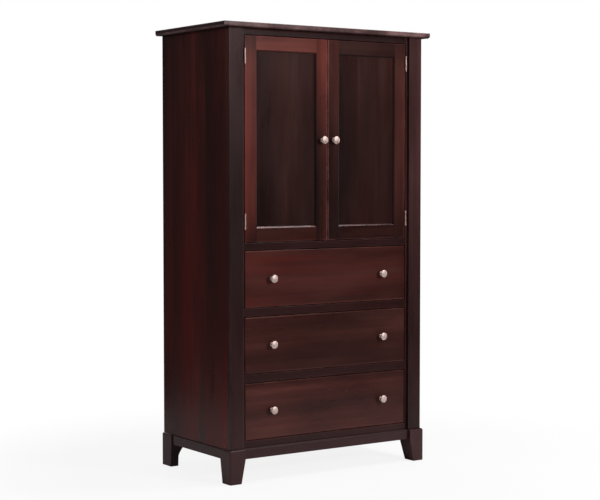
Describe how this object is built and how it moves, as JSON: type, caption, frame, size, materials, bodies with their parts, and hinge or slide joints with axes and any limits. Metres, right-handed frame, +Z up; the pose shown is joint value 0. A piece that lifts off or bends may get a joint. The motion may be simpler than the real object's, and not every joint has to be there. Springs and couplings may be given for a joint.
{
  "type": "tv armoire",
  "caption": "Tall wooden TV armoire with paired frame-and-panel doors over a stack of drawers, round metal knobs, a bevelled overhanging top and a footed base.",
  "frame": {"origin": "middle of the bounding box at floor level, under the four feet", "axes": "+Z up, the front with its doors and drawers faces -Y, +X is to the right of someone who faces the front"},
  "size_m": [1.027, 0.5526, 1.829],
  "materials": {
    "stained_case": "dark reddish brown stain under satin lacquer",
    "stained_door": "dark reddish brown stain under satin lacquer",
    "stained_drawer": "dark reddish brown stain under satin lacquer",
    "stained_inside": "dark stain under thin satin lacquer",
    "clear_maple": "clear satin lacquer over pale wood",
    "satin_nickel": "satin nickel plate"
  },
  "bodies": {
    "case": {"adjustable_shelf": "stained_inside", "apron_back": "stained_case", "apron_front": "stained_case", "apron_left": "stained_case", "apron_right": "stained_case", "back_panel": "stained_inside", "bottom_panel": "stained_inside", "door_left_hinge_bottom_case_leaf": "satin_nickel", "door_left_hinge_top_case_leaf": "satin_nickel", "door_right_hinge_bottom_case_leaf": "satin_nickel", "door_right_hinge_top_case_leaf": "satin_nickel", "drawer_bottom_runner_left": "clear_maple", "drawer_bottom_runner_right": "clear_maple", "drawer_middle_runner_left": "clear_maple", "drawer_middle_runner_right": "clear_maple", "drawer_top_runner_left": "clear_maple", "drawer_top_runner_right": "clear_maple", "foot_back_left": "stained_case", "foot_back_right": "stained_case", "foot_front_left": "stained_case", "foot_front_right": "stained_case", "post_left": "stained_case", "post_right": "stained_case", "rail_bottom": "stained_case", "rail_top": "stained_case", "rail_under_doors": "stained_case", "rail_under_middle_drawer": "stained_case", "rail_under_top_drawer": "stained_case", "side_panel_left": "stained_case", "side_panel_right": "stained_case", "top_slab": "stained_case", "tv_deck": "stained_inside"},
    "door_left": {"door_left_hinge_bottom_door_leaf": "satin_nickel", "door_left_hinge_top_door_leaf": "satin_nickel", "door_left_knob": "satin_nickel", "door_left_panel": "stained_door", "door_left_rail_bottom": "stained_door", "door_left_rail_top": "stained_door", "door_left_stile_hinge_side": "stained_door", "door_left_stile_knob_side": "stained_door"},
    "door_right": {"door_right_hinge_bottom_door_leaf": "satin_nickel", "door_right_hinge_top_door_leaf": "satin_nickel", "door_right_knob": "satin_nickel", "door_right_panel": "stained_door", "door_right_rail_bottom": "stained_door", "door_right_rail_top": "stained_door", "door_right_stile_hinge_side": "stained_door", "door_right_stile_knob_side": "stained_door"},
    "drawer_top": {"drawer_top_box": "clear_maple", "drawer_top_front": "stained_drawer", "drawer_top_knob_left": "satin_nickel", "drawer_top_knob_right": "satin_nickel"},
    "drawer_middle": {"drawer_middle_box": "clear_maple", "drawer_middle_front": "stained_drawer", "drawer_middle_knob_left": "satin_nickel", "drawer_middle_knob_right": "satin_nickel"},
    "drawer_bottom": {"drawer_bottom_box": "clear_maple", "drawer_bottom_front": "stained_drawer", "drawer_bottom_knob_left": "satin_nickel", "drawer_bottom_knob_right": "satin_nickel"}
  },
  "joints": [
    {"name": "door_left_hinges", "type": "hinge", "parent": "case", "child": "door_left", "pos_m": [-0.4035, -0.25045, 1.3705], "axis": [0, 0, -1], "range_deg": [0, 150]},
    {"name": "door_right_hinges", "type": "hinge", "parent": "case", "child": "door_right", "pos_m": [0.4035, -0.25045, 1.3705], "axis": [0, 0, 1], "range_deg": [0, 150]},
    {"name": "drawer_top_slide", "type": "slide", "parent": "case", "child": "drawer_top", "axis": [0, -1, 0], "range_m": [0, 0.36]},
    {"name": "drawer_middle_slide", "type": "slide", "parent": "case", "child": "drawer_middle", "axis": [0, -1, 0], "range_m": [0, 0.36]},
    {"name": "drawer_bottom_slide", "type": "slide", "parent": "case", "child": "drawer_bottom", "axis": [0, -1, 0], "range_m": [0, 0.36]}
  ]
}
